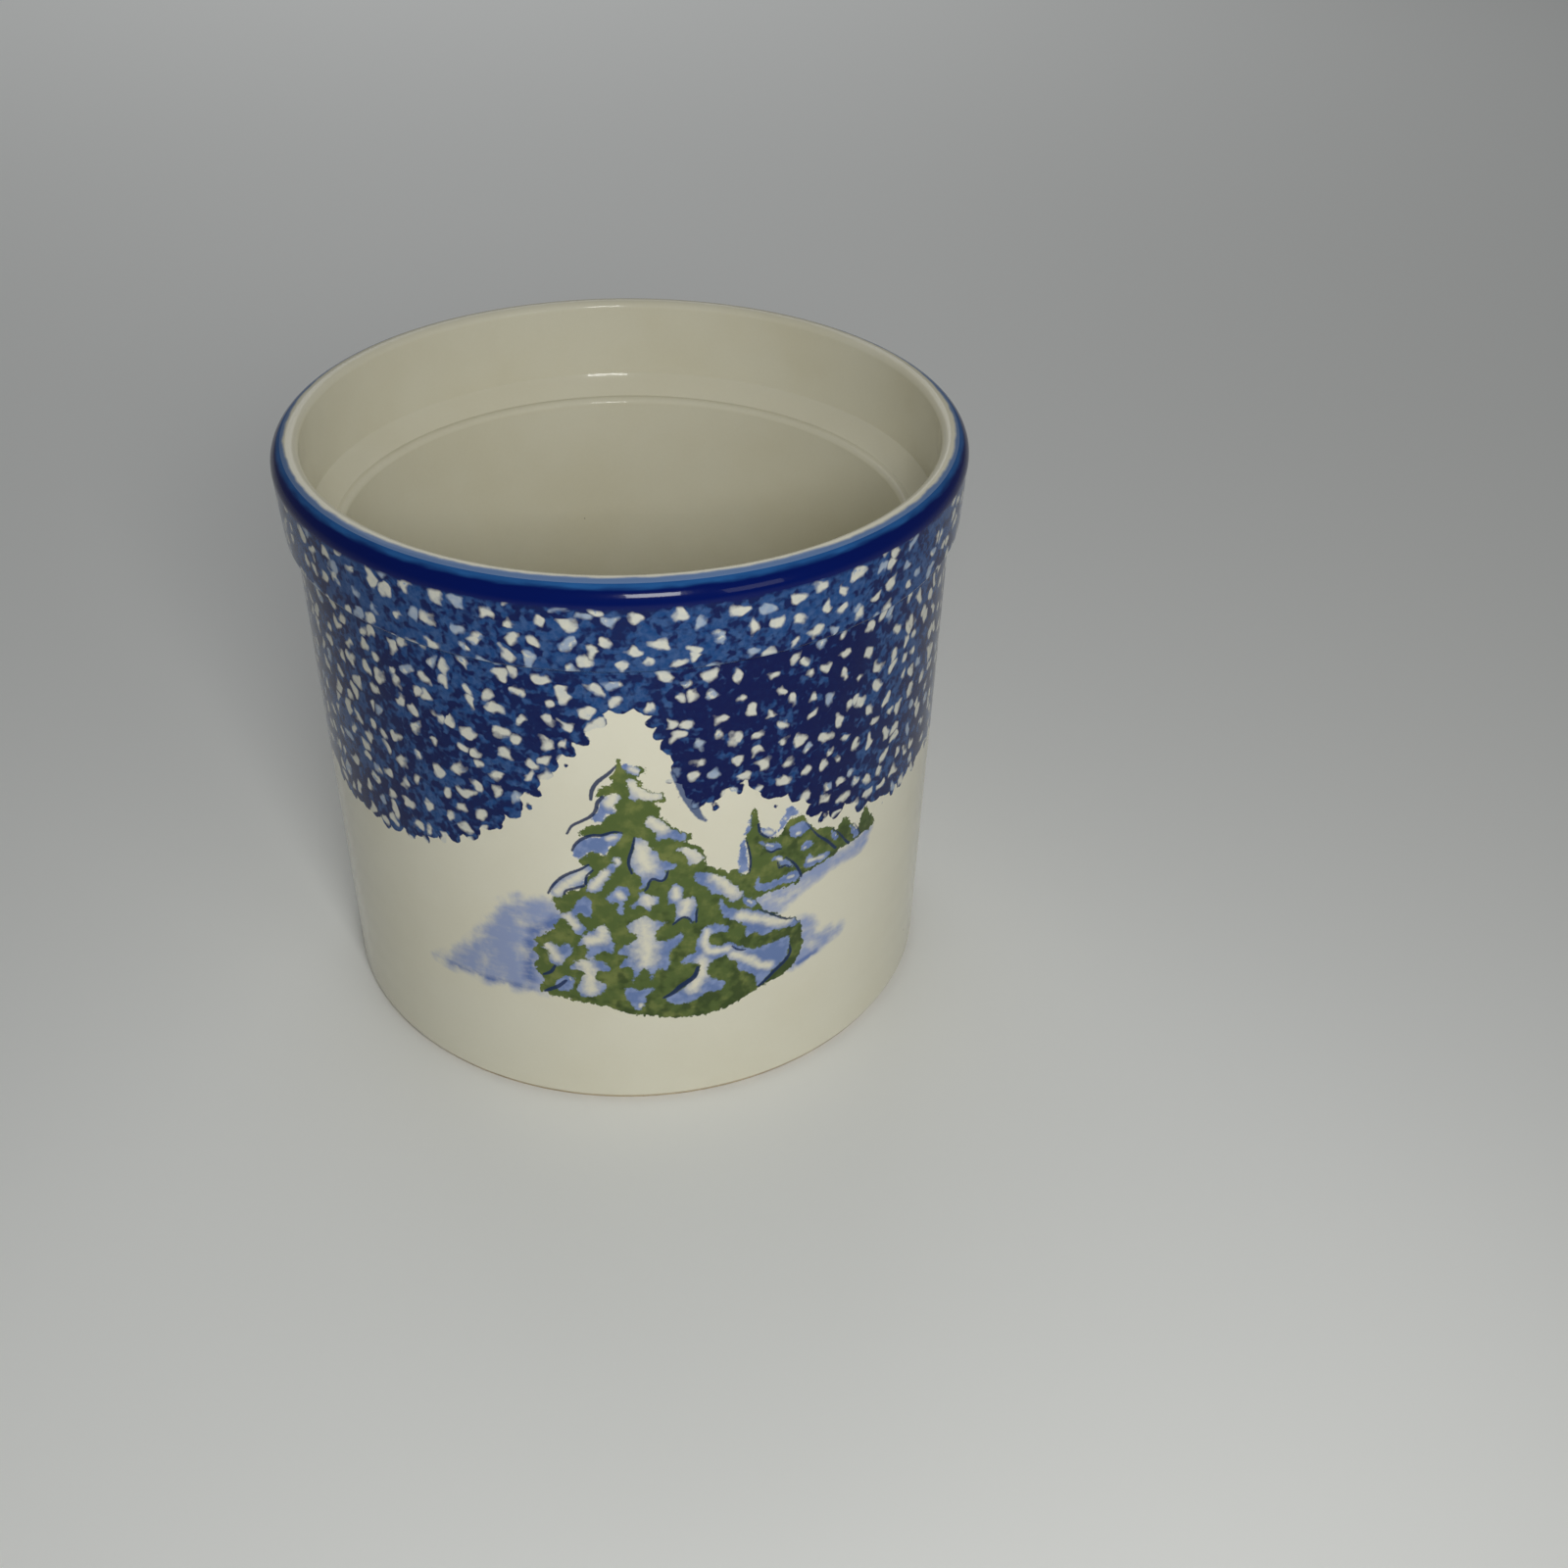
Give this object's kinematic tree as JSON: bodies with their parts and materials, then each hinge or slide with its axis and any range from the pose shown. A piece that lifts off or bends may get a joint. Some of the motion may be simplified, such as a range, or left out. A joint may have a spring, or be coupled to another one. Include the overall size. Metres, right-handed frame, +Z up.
{
  "type": "stoneware crock",
  "caption": "Handleless glazed stoneware crock with a thick rounded collar, a stepped mouth, a sponged blue band and a printed scene of snowy pines.",
  "frame": {"origin": "centre of the foot ring, on the surface that the crock stands on", "axes": "+Z up along the crock's axis of revolution, -Y towards the printed scene, +X to the right of it"},
  "size_m": [0.1016, 0.1016, 0.0924],
  "materials": {
    "bare_stoneware": "unglazed, matte",
    "ivory_glaze": "glossy",
    "cobalt_glaze": "glossy",
    "sponged_glaze": "glossy, sponged",
    "printed_glaze": "glossy, printed"
  },
  "bodies": {
    "root": {"stoneware_body": "bare_stoneware", "liner_glaze": "ivory_glaze", "outer_glaze": "ivory_glaze", "rim_band": "cobalt_glaze", "sponge_band": "sponged_glaze", "pine_scene": "printed_glaze", "base_glaze": "ivory_glaze"}
  },
  "joints": []
}
